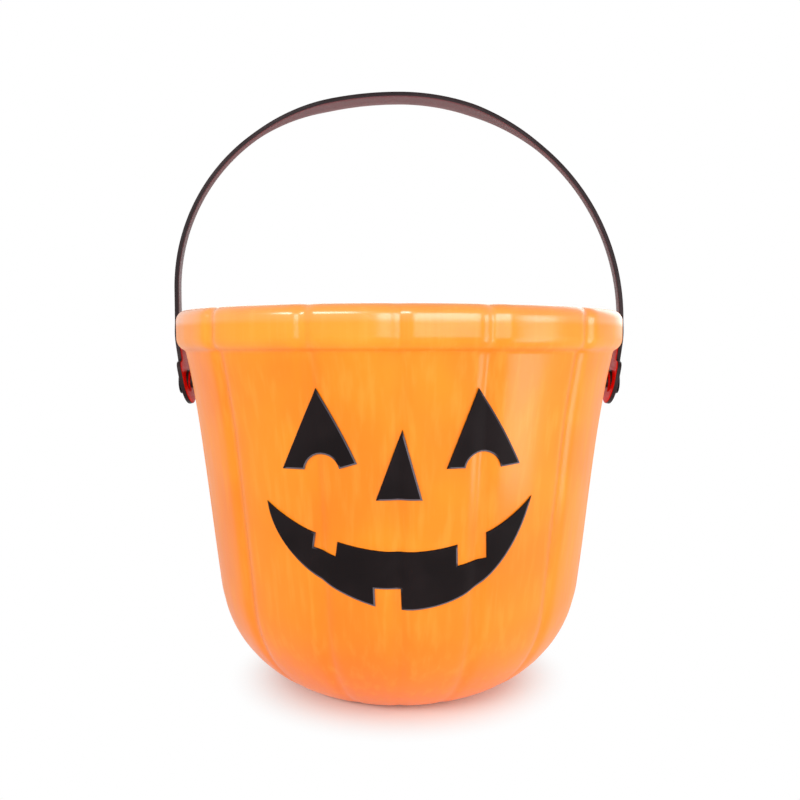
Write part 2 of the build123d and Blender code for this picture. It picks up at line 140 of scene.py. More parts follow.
# %% The lobed outline
def lobed_radius(angle, radius, depth, inset):
    """Distance from the axis at an angle round from the front, all arrays alike. Away from a groove it is
    the lobe's radius. In the groove it is the near side of a circle that dips in by the depth, and beside
    it the far side of a shoulder circle that touches both that circle and the lobe. A positive inset
    gives the skin that lies that far inside."""
    turn = (angle[..., None] - grooves + np.pi) % (2 * np.pi) - np.pi
    offset = np.abs(turn).min(axis=-1)
    hollow = GROOVE_RADIUS + inset
    shoulder = GROOVE_SHOULDER - inset
    hollow_centre = radius - depth + hollow
    shoulder_centre = radius - shoulder
    spread = shoulder_centre ** 2 + hollow_centre ** 2 - (shoulder + hollow) ** 2
    reach = np.arccos(np.clip(spread / (2 * shoulder_centre * hollow_centre), -1.0, 1.0))
    share = hollow / (hollow + shoulder)
    meet_out = hollow_centre + share * (shoulder_centre * np.cos(reach) - hollow_centre)
    meet = np.arctan2(share * shoulder_centre * np.sin(reach), meet_out)
    in_hollow = np.sqrt(np.maximum(hollow ** 2 - (hollow_centre * np.sin(offset)) ** 2, 0.0))
    in_shoulder = np.sqrt(np.maximum(shoulder ** 2 - (shoulder_centre * np.sin(offset - reach)) ** 2, 0.0))
    beside = np.where(offset < reach, shoulder_centre * np.cos(offset - reach) + in_shoulder, radius)
    return np.where(offset < meet, hollow_centre * np.cos(offset) - in_hollow, beside)


# Each wave is its size, its count round the pail, its run up the wall and its phases round and up
WAVES = ((0.11, 3, 16.0, 0.6, 1.1), (0.06, 5, 9.0, 2.0, 0.4))
WAVER_FADE = 40.0


def mould_waver(angle, height):
    """Slow waves of about a tenth of a millimetre that a blown wall keeps: two products of sines, one of
    the angle and one of the height, which fade out towards the base."""
    waver = sum(size * np.sin(count * angle + phase_round) * np.sin(height / run + phase_up)
                for size, count, run, phase_round, phase_up in WAVES)
    return waver * np.clip(height / WAVER_FADE, 0.0, 1.0)


# %% [markdown]
# The lathe profile of the pail is one line: from the middle of the base out to the ring it stands on,
# up the rounded corner and the tapered wall, round the rim band, in over the lip, and back down the
# inside to the floor. Each stretch below is an arc or a line, with the groove's depth along it.
# One closed line turned round the axis makes a closed shell, with no wall thickness to add later.

# %% The lathe profile
def arc(centre_radius, centre_height, arc_radius, first, last, count):
    """Radius and height of points on an arc, from one turn above level to another, in radians."""
    turn = np.linspace(first, last, count)
    return centre_radius + arc_radius * np.cos(turn), centre_height + arc_radius * np.sin(turn)


def straight_wall(first, last, inset, count):
    """Radius and height along the tapered wall with its quadratic flare, between two heights."""
    height = np.linspace(first, last, count)
    flare = FLARE * (np.maximum(0.0, height - flare_start) / FLARE_HEIGHT) ** 2
    return wall_foot + height * np.tan(TAPER) + flare - inset / np.cos(TAPER), height


EASE_POINTS = 5


def eased_corner(first, corner, last, count=EASE_POINTS):
    """Radius and height on a curve that leaves first and reaches last as a quadratic Bezier does."""
    t = np.linspace(0.0, 1.0, count)
    weights = np.stack([(1 - t) ** 2, 2 * t * (1 - t), t ** 2], axis=-1)
    return (weights @ np.array([first, corner, last])).T


def step_between(first_radius, last_radius, first_height, last_height, count):
    """Radius and height over a rounded step, half a cosine wave between two levels."""
    t = np.linspace(0.0, 1.0, count)
    ease = (1 - np.cos(np.pi * t)) / 2
    return first_radius + (last_radius - first_radius) * t, first_height + (last_height - first_height) * ease


def stretch(line, depth=0.0, inset=0.0):
    """Profile rows of radius, height, groove depth and inset."""
    return np.stack(np.broadcast_arrays(*line, depth, inset), axis=-1)


# %% The outside of the profile
FILLET = 1.4
# Rows of points along each stretch
BASE_ROWS, STEP_ROWS, STAND_ROWS, CORNER_ROWS, WALL_ROWS = 5, 7, 4, 34, 40
FILLET_ROWS, ROUND_ROWS, BAND_ROWS, TOP_ROWS = 7, 12, 7, 14
# The ring next to the middle, half the push-up's step, and how far the flats stay from it and the corner
POLE_RING, STEP_HALF, PUSH_GAP, STAND_GAP, CORNER_GAP = 4.0, 1.2, 2.0, 2.5, 0.6

push_radius = BASE_RADIUS - STAND_WIDTH
push_flat = np.linspace(POLE_RING, push_radius - PUSH_GAP, BASE_ROWS)
push_step = step_between(push_radius - STEP_HALF, push_radius + STEP_HALF, BASE_PUSH_UP, 0.0, STEP_ROWS)
stand_flat = np.linspace(push_radius + STAND_GAP, BASE_RADIUS - CORNER_GAP, STAND_ROWS)
stand_depth = np.linspace(0.0, BASE_GROOVE_DEPTH, STAND_ROWS)
corner_foot = -np.arcsin(corner_height / CORNER_RADIUS)
corner_round = arc(corner_centre, corner_height, CORNER_RADIUS, corner_foot, -TAPER, CORNER_ROWS)
corner_depth = np.linspace(BASE_GROOVE_DEPTH, GROOVE_DEPTH, CORNER_ROWS)
corner_top = corner_height - CORNER_RADIUS * np.sin(TAPER)
wall_end = rim_underside - FILLET
wall_top = np.ravel(straight_wall(wall_end, wall_end, 0.0, 1))
round_start = -rim_round_turn + FILLET / RIM_LOWER_ROUND
rim_round = arc(rim_round_centre, rim_round_height, RIM_LOWER_ROUND, round_start, 0.0, ROUND_ROWS)
round_depth = np.linspace(GROOVE_DEPTH, RIM_GROOVE_DEPTH, ROUND_ROWS)
round_first = np.array(rim_round)[:, 0]
rim_fillet = eased_corner(wall_top, (neck_radius, rim_underside), round_first, FILLET_ROWS)
band_top = PAIL_HEIGHT - RIM_TOP_ROUND
band = np.linspace(rim_round_height, band_top, BAND_ROWS)
top_round = arc(RIM_RADIUS - RIM_TOP_ROUND, band_top, RIM_TOP_ROUND, 0.0, np.pi / 2, TOP_ROWS)

outside = [
    stretch((push_flat, BASE_PUSH_UP)),
    stretch(push_step),
    stretch((stand_flat, 0.0), stand_depth),
    stretch(corner_round, corner_depth),
    stretch(straight_wall(corner_top, wall_end, 0.0, WALL_ROWS), GROOVE_DEPTH)[1:],
    stretch(rim_fillet, GROOVE_DEPTH)[1:],
    stretch(rim_round, round_depth)[1:],
    stretch((RIM_RADIUS, band), RIM_GROOVE_DEPTH)[1:-1],
    stretch(top_round, RIM_GROOVE_DEPTH),
]
print("outside rows", sum(len(rows) for rows in outside))

# %% The lip and the inside of the profile
LIP_ROWS, NOSE_ROWS, INNER_ROUND_ROWS, INNER_ROWS = 5, 9, 9, 26
FLOOR_GAP = 1.6
nose = WALL / 2
mouth_radius = RIM_RADIUS - RIM_TOP_ROUND - LIP_WIDTH
lip_radii = np.linspace(RIM_RADIUS - RIM_TOP_ROUND, mouth_radius + nose, LIP_ROWS)
lip_depth = np.linspace(RIM_GROOVE_DEPTH, 0.0, LIP_ROWS)
lip_nose = arc(mouth_radius + nose, PAIL_HEIGHT - nose, nose, np.pi / 2, 3 * np.pi / 2, NOSE_ROWS)
inner_top = RIM_TOP_ROUND - WALL
inner_top_round = arc(RIM_RADIUS - RIM_TOP_ROUND, band_top, inner_top, np.pi / 2, 0.0, INNER_ROUND_ROWS)
inner_lower = RIM_LOWER_ROUND - WALL
inner_turn = np.arccos((neck_radius - WALL - rim_round_centre) / inner_lower)
inner_round = arc(rim_round_centre, rim_round_height, inner_lower, 0.0, -inner_turn, INNER_ROUND_ROWS)
inner_round_depth = np.linspace(RIM_GROOVE_DEPTH, GROOVE_DEPTH, INNER_ROUND_ROWS)
inner_wall_top = rim_round_height - inner_lower * np.sin(inner_turn)
inner_corner = CORNER_RADIUS - WALL
inner_corner_top = corner_height - inner_corner * np.sin(TAPER)
inner_foot = -np.arcsin((corner_height - WALL) / inner_corner)
inner_corner_round = arc(corner_centre, corner_height, inner_corner, -TAPER, inner_foot, INNER_ROWS)
inner_corner_depth = np.linspace(GROOVE_DEPTH, BASE_GROOVE_DEPTH, INNER_ROWS)
inner_floor = corner_centre + inner_corner * np.cos(inner_foot)
floor_edge = push_radius + WALL
floor_top = WALL + BASE_PUSH_UP
floor_flat = np.linspace(inner_floor, floor_edge + FLOOR_GAP, STAND_ROWS)
floor_step = step_between(floor_edge + STEP_HALF, floor_edge - STEP_HALF, WALL, floor_top, STEP_ROWS)

inside = [
    stretch((lip_radii, PAIL_HEIGHT), lip_depth)[1:-1],
    stretch(lip_nose),
    stretch((lip_radii[::-1], PAIL_HEIGHT - WALL), lip_depth[::-1], WALL)[1:-1],
    stretch(inner_top_round, RIM_GROOVE_DEPTH, WALL),
    stretch(inner_round, inner_round_depth, WALL),
    stretch(straight_wall(inner_wall_top, inner_corner_top, WALL, INNER_ROWS), GROOVE_DEPTH, WALL)[1:],
    stretch(inner_corner_round, inner_corner_depth, WALL)[1:],
    stretch((floor_flat, WALL), stand_depth[::-1], WALL)[1:],
    stretch(floor_step, 0.0, WALL),
    stretch((np.linspace(floor_edge - PUSH_GAP, POLE_RING, BASE_ROWS), floor_top), 0.0, WALL),
]
profile = np.concatenate(outside + inside)
print("profile rows", len(profile))

# %% Turn the profile into the shell
near_groove = np.radians([0.0, 0.5, 1.0, 1.5, 2.0, 2.6, 3.2, 3.9, 4.8, 6.2, 8.0])
groove_ends = np.append(grooves[1:], grooves[0] + 2 * np.pi)
column_angles = np.concatenate([
    grooves[:, None] + near_groove,
    (grooves + groove_ends)[:, None] / 2,
    groove_ends[:, None] - near_groove[:0:-1],
], axis=1).ravel()


def round_the_axis(angle, radius, height):
    """Points at an angle round from the front, a distance from the axis and a height."""
    return np.stack(np.broadcast_arrays(radius * np.sin(angle), -radius * np.cos(angle), height), axis=-1)


radius, height, depth, inset = profile.T[:, :, None]
angle = np.broadcast_to(column_angles, (len(profile), len(column_angles)))
shell_radius = lobed_radius(angle, radius, depth, inset) + mould_waver(angle, height)
shell_rings = round_the_axis(angle, shell_radius, height)
base_pole, floor_pole = (0.0, 0.0, BASE_PUSH_UP), (0.0, 0.0, floor_top)
pail = put_mesh("pumpkin_pail", *closed_stack(shell_rings, base_pole, floor_pole))
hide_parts("pail_shell")
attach(pail, "pail")

# %% [markdown]
# The strap and the face are flat blanks with shaped outlines, bent to a path or laid on the wall.
# A blank is drawn flat first: its outline, the same outline moved in a little for the rounded edge,
# and triangles over what is left. Then a bending rule puts every flat point in its place.
# Cutting the outlines out of a finished surface would leave ragged edges; this keeps them crisp.

# %% Flat blanks
OUTLINE_STEP = 1.6


def line_points(first, last):
    """Points from first towards last, about one outline step apart, last left out."""
    first, last = np.array(first), np.array(last)
    count = max(int(np.hypot(*(last - first)) / OUTLINE_STEP), 1)
    return first + np.arange(count)[:, None] / count * (last - first)


def arc_points(first, middle, last):
    """Points on the circle through three points, from first towards last, last left out. Its centre solves
    the two equations that put it as far from middle and last as from first."""
    first, middle, last = np.array(first), np.array(middle), np.array(last)
    spokes = 2 * np.array([middle - first, last - first])
    centre = np.linalg.solve(spokes, [middle @ middle - first @ first, last @ last - first @ first])
    turns = np.unwrap([np.arctan2(*(p - centre)[::-1]) for p in (first, middle, last)])
    reach = np.hypot(*(first - centre))
    count = max(int(abs(turns[2] - turns[0]) * reach / OUTLINE_STEP), 3)
    turn = turns[0] + np.arange(count) / count * (turns[2] - turns[0])
    return centre + reach * np.stack([np.cos(turn), np.sin(turn)], axis=-1)


def moved_in(loop, distance):
    """A closed loop moved to its left by a distance: each point moves along the mitre of its two sides."""
    ahead = np.roll(loop, -1, axis=0) - loop
    ahead /= np.linalg.norm(ahead, axis=1)[:, None]
    left = np.stack([-ahead[:, 1], ahead[:, 0]], axis=-1)
    before = np.roll(left, 1, axis=0)
    return loop + distance * (left + before) / (1 + (left * before).sum(axis=1))[:, None]


def is_inside(points, loops):
    """Whether each point is inside the loops, by counting the sides that a level line from it crosses."""
    first = np.concatenate(loops)
    last = np.concatenate([np.roll(loop, -1, axis=0) for loop in loops])
    x, y = points[:, :1], points[:, 1:]
    spans = (first[:, 1] > y) != (last[:, 1] > y)
    rise = np.where(last[:, 1] == first[:, 1], 1.0, last[:, 1] - first[:, 1])
    crossing = first[:, 0] + (y - first[:, 1]) / rise * (last[:, 0] - first[:, 0])
    return (spans & (x < crossing)).sum(axis=1) % 2 == 1


# %% Triangles over a blank
# The kind of Delaunay mesh that keeps only what is inside the loops, and how close it merges points
INSIDE_ONLY, MERGE_DISTANCE = 1, 1e-6
# How near a grid point may come to the loops' points, as a share of the spacing
GRID_CLEAR = 0.5


def filled(loops, spacing):
    """Points of the loops followed by an even grid of points inside them, and the triangles of a Delaunay
    mesh that keeps the loops' sides. The grid starts half a space in, so that none of it is on a side."""
    edge = np.concatenate(loops)
    low, high = edge.min(axis=0), edge.max(axis=0)
    ticks = [np.arange(first + step / 2, last, step) for first, last, step in zip(low, high, spacing)]
    grid = np.stack(np.meshgrid(*ticks), axis=-1).reshape(-1, 2)
    grid = grid[is_inside(grid, loops)]
    away = ((grid[:, None] - edge) ** 2).sum(axis=-1).min(axis=1)
    points = np.concatenate([edge, grid[away > (GRID_CLEAR * min(spacing)) ** 2]])
    starts = np.cumsum([0] + [len(loop) for loop in loops])
    following = np.arange(1, len(edge) + 1)
    following[starts[1:] - 1] = starts[:-1]
    sides = np.stack([np.arange(len(edge)), following], axis=-1).tolist()
    mesh = geometry.delaunay_2d_cdt(points.tolist(), sides, [], INSIDE_ONLY, MERGE_DISTANCE)
    source = np.array([origin[0] for origin in mesh[3]])
    triangles = source[np.array(mesh[2])]
    corners = points[triangles]
    span = corners[:, 1:] - corners[:, :1]
    turned_over = span[:, 0, 0] * span[:, 1, 1] - span[:, 0, 1] * span[:, 1, 0] < 0
    triangles[turned_over] = triangles[turned_over][:, ::-1]
    return points, triangles[is_inside(corners.mean(axis=1), loops)]


EDGE_ROWS = 5


def rounded_edge(back, front, back_round, front_round):
    """Inset and height along a blank's edge from its back face to its front face, a quarter circle at
    each: the inset is the round less its cosine, the height follows its sine."""
    turn = np.linspace(0.0, np.pi / 2, EDGE_ROWS)
    inset, drop = 1 - np.cos(turn), 1 - np.sin(turn)
    to_front = np.stack([front_round * inset, front - front_round * drop], axis=-1)
    from_back = np.stack([back_round * inset, back + back_round * drop], axis=-1)[::-1]
    return np.concatenate([from_back, to_front])


def mark(piece, name, values):
    """A named value at each point of a piece, for its material to read."""
    layer = piece.data.attributes.new(name, "FLOAT", "POINT")
    layer.data.foreach_set("value", values.astype(np.float32))


def blank(name, loops, edge, place, spacing):
    """A solid blank: a grid of edge rows round each loop, and triangles over the back and the front. The
    place function turns flat x, y and height into points. Each point keeps its height as its level."""
    rows = [(np.concatenate([moved_in(loop, inward) for loop in loops]), level) for inward, level in edge]
    count = len(rows[0][0])
    starts = np.cumsum([0] + [len(loop) for loop in loops])
    spans = list(zip(starts, starts[1:]))
    blocks = []
    for first, last in spans:
        quads = grid_quads(len(edge), last - first)
        blocks.append(quads // (last - first) * count + quads % (last - first) + first)
    for row, flip in ((0, True), (len(edge) - 1, False)):
        flat, triangles = filled([rows[row][0][first:last] for first, last in spans], spacing)
        on_edge = row * count + np.arange(count)
        added = sum(len(points) for points, _ in rows) + np.arange(len(flat) - count)
        triangles = np.concatenate([on_edge, added])[triangles]
        rows.append((flat[count:], rows[row][1]))
        blocks.append(triangles[:, ::-1] if flip else triangles)
    piece = put_mesh(name, np.concatenate([place(*flat.T, level) for flat, level in rows]), blocks)
    mark(piece, "level", np.concatenate([np.full(len(flat), level) for flat, level in rows]))
    return piece


# %% [markdown]
# The face is four shapes of black film on the front of the pail, each with a soft, slightly raised edge and a
# thin grey line of painted highlight on its lower and right sides. On a real pail they may be stickers or
# print.
# They could be painted in the material, but then the edge would not stand up from the wall.
# Each outline is drawn on the front elevation, and a point goes back along Y until it meets the wall.

# %% Laying film on the wall
FILM_THICKNESS, GLUE_LINE, FILM_EDGE = 0.8, 0.1, 0.55
FILM_GRID = (1.3, 1.9)
SETTLE_ROUNDS = 6


def on_wall(across, up, off):
    """Points that lie off the wall by a height, seen at across and up on the front elevation: the angle is
    the arc sine of across over the wall's radius there, found again a few times as the radius settles."""
    flare = FLARE * (np.maximum(0.0, up - flare_start) / FLARE_HEIGHT) ** 2
    lobe = wall_foot + up * np.tan(TAPER) + flare + off / np.cos(TAPER)
    angle = np.arcsin(across / lobe)
    for _ in range(SETTLE_ROUNDS):
        reach = lobed_radius(angle, lobe, np.full_like(lobe, GROOVE_DEPTH), -off) + mould_waver(angle, up)
        angle = np.arcsin(across / reach)
    return round_the_axis(angle, reach, up)


# Width and fade, in millimetres, of the painted grey highlight that runs in from the film's edge
PAINTED_HIGHLIGHT_WIDTH, PAINTED_HIGHLIGHT_FADE = 0.7, 0.08
film_front = GLUE_LINE + FILM_THICKNESS
film_edge = np.concatenate([
    rounded_edge(GLUE_LINE, film_front, 0.0, FILM_EDGE)[EDGE_ROWS - 1:],
    [[PAINTED_HIGHLIGHT_WIDTH - PAINTED_HIGHLIGHT_FADE, film_front], [PAINTED_HIGHLIGHT_WIDTH, film_front]],
])
SHARP_TURN, TIP_STEP = np.radians(120.0), 3.2


def clear_tips(loop):
    """A loop without the points next to a sharp tip, where the rounded edge has no room for them: a tip is
    a point where the loop's heading turns by more than the sharp turn."""
    ahead = np.roll(loop, -1, axis=0) - loop
    heading = np.arctan2(ahead[:, 1], ahead[:, 0])
    turn = (heading - np.roll(heading, 1) + np.pi) % (2 * np.pi) - np.pi
    away = np.linalg.norm(loop[:, None] - loop[turn > SHARP_TURN], axis=-1)
    return loop[((away == 0.0) | (away > TIP_STEP)).all(axis=1)]


# The way the painted highlight faces, to the lower right, and the facing at which it is full
PAINTED_HIGHLIGHT_SIDE, PAINTED_HIGHLIGHT_EASE = np.array([0.64, -0.77]), 0.35


def film(name, loop, node):
    """One piece of the face from its outline, in place of its CAD node. Its painted highlight is 1 along the
    edge where the outline faces the highlight's side, to the lower right, and eases to 0 on the flat and on
    the other sides."""
    loop = clear_tips(loop)
    piece = blank(name, [loop], film_edge, on_wall, FILM_GRID)
    outward = loop - moved_in(loop, FILM_EDGE)
    facing = outward / np.linalg.norm(outward, axis=1)[:, None] @ PAINTED_HIGHLIGHT_SIDE
    painted_highlight = np.zeros(len(piece.data.vertices))
    painted_highlight_rows = len(film_edge) - 1
    painted_highlight[:painted_highlight_rows * len(loop)] = np.tile(np.clip(facing / PAINTED_HIGHLIGHT_EASE, 0.0, 1.0), painted_highlight_rows)
    mark(piece, "painted_highlight", painted_highlight)
    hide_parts(node)
    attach(piece, "pail")
    return piece


# %% Eyes and nose
FACE_CENTRE, EYE_SPACING, EYE_LINE = 1.3, 63.9, 112.9
# Each eye is its apex, left corner, the notch's left end, top and right end, right corner and bulge
LEFT_EYE = ((-1.6, 31.8), (-15.8, -0.8), (-6.6, -0.6), (0.2, 5.8), (7.4, 0.2), (14.4, 2.4), (5.9, 19.2))
RIGHT_EYE = ((-2.5, 32.0), (-14.7, 0.4), (-7.3, 0.4), (-0.4, 6.7), (7.1, 0.3), (15.2, 1.2), (6.2, 18.4))
NOSE_BASE, NOSE_HEIGHT, NOSE_HALF_WIDTH, NOSE_CENTRE = 100.9, 27.8, 9.1, 0.1


def eye_loop(centre, points):
    """Outline of an eye: a triangle with a bulged right side and a round notch in its lower edge."""
    apex, left, notch_left, notch_top, notch_right, right, bulge = np.array(points) + (centre, EYE_LINE)
    return np.concatenate([
        line_points(apex, left),
        line_points(left, notch_left),
        arc_points(notch_left, notch_top, notch_right),
        line_points(notch_right, right),
        arc_points(right, bulge, apex),
    ])


nose_left = (NOSE_CENTRE - NOSE_HALF_WIDTH, NOSE_BASE)
nose_right = (NOSE_CENTRE + NOSE_HALF_WIDTH, NOSE_BASE)
nose_apex = (FACE_CENTRE, NOSE_BASE + NOSE_HEIGHT)
nose_loop = np.concatenate([
    line_points(nose_left, nose_right),
    line_points(nose_right, nose_apex),
    line_points(nose_apex, nose_left),
])
left_eye = film("left_eye", eye_loop(FACE_CENTRE - EYE_SPACING / 2, LEFT_EYE), "left_eye_decal")
right_eye = film("right_eye", eye_loop(FACE_CENTRE + EYE_SPACING / 2, RIGHT_EYE), "right_eye_decal")
nose_film = film("nose", nose_loop, "nose_decal")

# %% Smile
LEFT_TIP, RIGHT_TIP, LOWER_LOW = (-53.7, 98.0), (54.0, 100.1), (1.6, 55.8)
# Each lip is a cubic curve by its two ends and the two handles between them
UPPER_LIP = (LEFT_TIP, (-26.9, 76.5), (26.3, 70.7), RIGHT_TIP)
LOWER_LEFT_LIP = (LEFT_TIP, (-50.6, 71.4), (-14.3, 55.8), LOWER_LOW)
LOWER_RIGHT_LIP = (LOWER_LOW, (32.4, 55.8), (47.9, 76.2), RIGHT_TIP)
# Each tooth is the left and the right corner of its tip and its lean from upright
LEFT_TOOTH = ((-34.1, 80.6), (-25.2, 77.5), np.radians(7.7))
RIGHT_TOOTH = ((23.4, 73.7), (35.1, 76.1), np.radians(-1.5))
LOWER_TOOTH = ((-9.7, 64.9), (0.7, 64.5), np.radians(-2.2))
LIP_SAMPLES = 2000


def lip_at(lip, t):
    """Points of a lip's Bezier curve at the parameters t: its four points weighted by the terms of the cube
    of (1 - t) + t."""
    weights = np.stack([(1 - t) ** 3, 3 * t * (1 - t) ** 2, 3 * t ** 2 * (1 - t), t ** 3], axis=-1)
    return weights @ np.array(lip)


def lip_points(lip, first, last):
    """Points along a lip from one parameter towards another, evenly by parameter, last left out."""
    steps = np.diff(lip_at(lip, np.linspace(first, last, LIP_SAMPLES)), axis=0)
    count = max(int(np.linalg.norm(steps, axis=1).sum() / OUTLINE_STEP), 1)
    return lip_at(lip, first + np.arange(count) / count * (last - first))


def notch(lip, near, far, lean):
    """Parameters where a lip meets a tooth's sides, nearest first, and the points round the tooth between
    them, last left out. A side meets the lip where the lip's distance from the side's line is nothing."""
    t = np.linspace(0.0, 1.0, LIP_SAMPLES)
    aside = np.array([np.cos(lean), -np.sin(lean)])
    meets = np.array([np.interp(0.0, (lip_at(lip, t) - corner) @ aside, t) for corner in (near, far)])
    near_root, far_root = lip_at(lip, meets)
    sides = ((near_root, near), (near, far), (far, far_root))
    return *meets, np.concatenate([line_points(*side) for side in sides])


low_start, low_end, lower_notch = notch(LOWER_LEFT_LIP, *LOWER_TOOTH)
right_start, right_end, right_notch = notch(UPPER_LIP, RIGHT_TOOTH[1], RIGHT_TOOTH[0], RIGHT_TOOTH[2])
left_start, left_end, left_notch = notch(UPPER_LIP, LEFT_TOOTH[1], LEFT_TOOTH[0], LEFT_TOOTH[2])
smile = np.concatenate([
    lip_points(LOWER_LEFT_LIP, 0.0, low_start),
    lower_notch,
    lip_points(LOWER_LEFT_LIP, low_end, 1.0),
    lip_points(LOWER_RIGHT_LIP, 0.0, 1.0)[1:],
    lip_points(UPPER_LIP, 1.0, right_start),
    right_notch,
    lip_points(UPPER_LIP, right_end, left_start),
    left_notch,
    lip_points(UPPER_LIP, left_end, 0.0),
])
smile_film = film("smile", smile, "mouth_decal")

# %% [markdown]
# The carry strap is one flat moulding: wide where a hand holds it, slim in the arms, with a shouldered
# pad at each end, whose eye turns on a stud.
# A section swept along the arch would do for an even strap, but this one changes width along it.
# So its blank is drawn flat, as wide as it is at each place along it, and bent to the arch: a straight
# pad, a slight bend, a short leg, a shoulder arc and a crown arc on each side. The photograph shows one
# side a little lower than the other, so each has its own rise.

# %% The strap's path
STRAP_THICKNESS, RIM_CLEARANCE = 2.2, 0.9
PIVOT_DROP, PAD_TILT = 15.0, np.radians(10.0)
BEND_ABOVE_PIVOT, BEND_RADIUS, LEG_RUN = 22.0, 40.0, 3.8
RIGHT_ARCH_RISE, LEFT_ARCH_RISE, SHOULDER_TURN = 107.1, 91.8, np.radians(77.0)
PAD_RADIUS, PAD_SHOULDER, SHOULDER_ROUND = 11.0, 10.0, 3.5
NECK_WIDTH, NECK_HEIGHT, NECK_FILLET, ARM_WIDTH = 12.0, 29.0, 1.2, 6.0
GRIP_WIDTH, GRIP_HALF_LENGTH, GRIP_TAPER_LENGTH, GRIP_BLEND = 15.0, 36.0, 32.0, 2.8

pivot_height = rim_underside - PIVOT_DROP
leg_middle = RIM_RADIUS + RIM_CLEARANCE + STRAP_THICKNESS / 2
leg_foot = pivot_height + BEND_ABOVE_PIVOT + BEND_RADIUS * np.tan(PAD_TILT / 2)
crown_height = leg_foot + LEG_RUN + RIGHT_ARCH_RISE
PATH_POINTS = 120


def arch_side(rise):
    """Middle line of half the strap from the pad's end to the crown, as x and z. The pad is a line at its
    tilt, the bend an arc, the leg upright, and the arch a shoulder arc and a crown arc that share a
    tangent: their radii solve the two equations for its half width and its rise."""
    bend = arc(leg_middle - BEND_RADIUS, leg_foot, BEND_RADIUS, -PAD_TILT, 0.0, PATH_POINTS)
    pad_foot = pivot_height - PAD_RADIUS
    pad = np.array([bend[0][0] - (bend[1][0] - pad_foot) * np.tan(PAD_TILT), pad_foot])
    turn_sin, turn_cos = np.sin(SHOULDER_TURN), np.cos(SHOULDER_TURN)
    share = 1 - turn_sin - turn_cos
    shoulder = (leg_middle * (1 - turn_sin) - rise * turn_cos) / share
    crown = (rise * (1 - turn_cos) - leg_middle * turn_sin) / share
    spring = crown_height - rise
    return np.concatenate([
        pad[None, :],
        np.stack(bend, axis=-1),
        np.stack(arc(leg_middle - shoulder, spring, shoulder, 0.0, SHOULDER_TURN, PATH_POINTS), axis=-1),
        np.stack(arc(0.0, crown_height - crown, crown, SHOULDER_TURN, np.pi / 2, PATH_POINTS), axis=-1)[1:],
    ])


right_side = arch_side(RIGHT_ARCH_RISE)
left_side = arch_side(LEFT_ARCH_RISE) * (-1, 1)
path = np.concatenate([right_side, left_side[-2::-1]])
path_length = np.concatenate([[0.0], np.cumsum(np.linalg.norm(np.diff(path, axis=0), axis=1))])
strap_length = path_length[-1]
crown_place = path_length[len(right_side) - 1]
print("strap length", round(strap_length, 1), "crown at", round(crown_place, 1))

HEADING_STEP = 0.2


def path_at(along):
    """Points of the path, as x and z, at places along it."""
    return np.stack([np.interp(along, path_length, path[:, axis]) for axis in (0, 1)])


def along_strap(across, along, off):
    """Points of the bent blank: the place along the path, plus the distance across it on Y, plus the height
    along the path's outward normal, which is its direction turned a quarter to the right."""
    x, z = path_at(along)
    ahead = path_at(along + HEADING_STEP) - path_at(along - HEADING_STEP)
    heading = ahead / np.linalg.norm(ahead, axis=0)
    return np.stack([x + off * heading[1], across, z - off * heading[0]], axis=-1)


# %% The strap's blank
def soft_ramp(x):
    """A ramp from 0 to 1 over 0 to 1 whose two corners are parabolas as long as the grip's blend."""
    blend = GRIP_BLEND / GRIP_TAPER_LENGTH

    def bent(t):
        return np.where(t < -blend, 0.0, np.where(t > blend, t, (t + blend) ** 2 / (4 * blend)))

    return bent(x) - bent(x - 1)


def arm_half_width(along):
    """Half the strap's width beyond the pads: the arm's, ramping up to the grip's by the place across x."""
    across = np.abs(path_at(along)[0])
    ramp = soft_ramp((GRIP_HALF_LENGTH + GRIP_TAPER_LENGTH - across) / GRIP_TAPER_LENGTH)
    return ARM_WIDTH / 2 + (GRIP_WIDTH - ARM_WIDTH) / 2 * ramp


def place_at(height):
    """Place along the path at a height on its right-hand pad, bend or leg."""
    return np.interp(height, right_side[:, 1], path_length[:len(right_side)])


ARM_ROWS = 300
slant = np.sqrt(0.5)
corner = np.array([PAD_RADIUS - SHOULDER_ROUND, PAD_SHOULDER - SHOULDER_ROUND])
neck_foot = np.array([NECK_WIDTH / 2, PAD_SHOULDER])
neck_top = np.array([ARM_WIDTH / 2, NECK_HEIGHT])
climb = (neck_top - neck_foot) / np.linalg.norm(neck_top - neck_foot)
fillet_start = neck_foot + (NECK_FILLET, 0.0)
fillet_end = neck_foot + NECK_FILLET * climb
pad_side = np.concatenate([
    arc_points((0.0, -PAD_RADIUS), (PAD_RADIUS * slant, -PAD_RADIUS * slant), (PAD_RADIUS, 0.0)),
    line_points((PAD_RADIUS, 0.0), (PAD_RADIUS, corner[1])),
    arc_points((PAD_RADIUS, corner[1]), corner + SHOULDER_ROUND * slant, (corner[0], PAD_SHOULDER)),
    line_points((corner[0], PAD_SHOULDER), fillet_start),
    eased_corner(fillet_start, neck_foot, fillet_end).T,
    line_points(fillet_end, neck_top)[1:],
])
pad_width = pad_side[:, 0]
pad_along = place_at(pivot_height + pad_side[:, 1])
pivot_place = place_at(pivot_height)
neck_end = place_at(pivot_height + NECK_HEIGHT)
arm_along = np.linspace(neck_end, strap_length - neck_end, ARM_ROWS)
half_width = np.concatenate([pad_width, arm_half_width(arm_along), pad_width[::-1]])
along = np.concatenate([pad_along, arm_along, strap_length - pad_along[::-1]])
right_edge = np.stack([half_width, along], axis=-1)
strap_outline = np.concatenate([right_edge, right_edge[-2:0:-1] * (-1, 1)])

EYE_CUT_RADIUS = 4.4
EYE_CUT_POINTS = 28
eye_turn = -np.linspace(0.0, 2 * np.pi, EYE_CUT_POINTS, endpoint=False)
eye_cut = EYE_CUT_RADIUS * np.stack([np.cos(eye_turn), np.sin(eye_turn)], axis=-1)
eye_cuts = [eye_cut + (0.0, place) for place in (pivot_place, strap_length - pivot_place)]

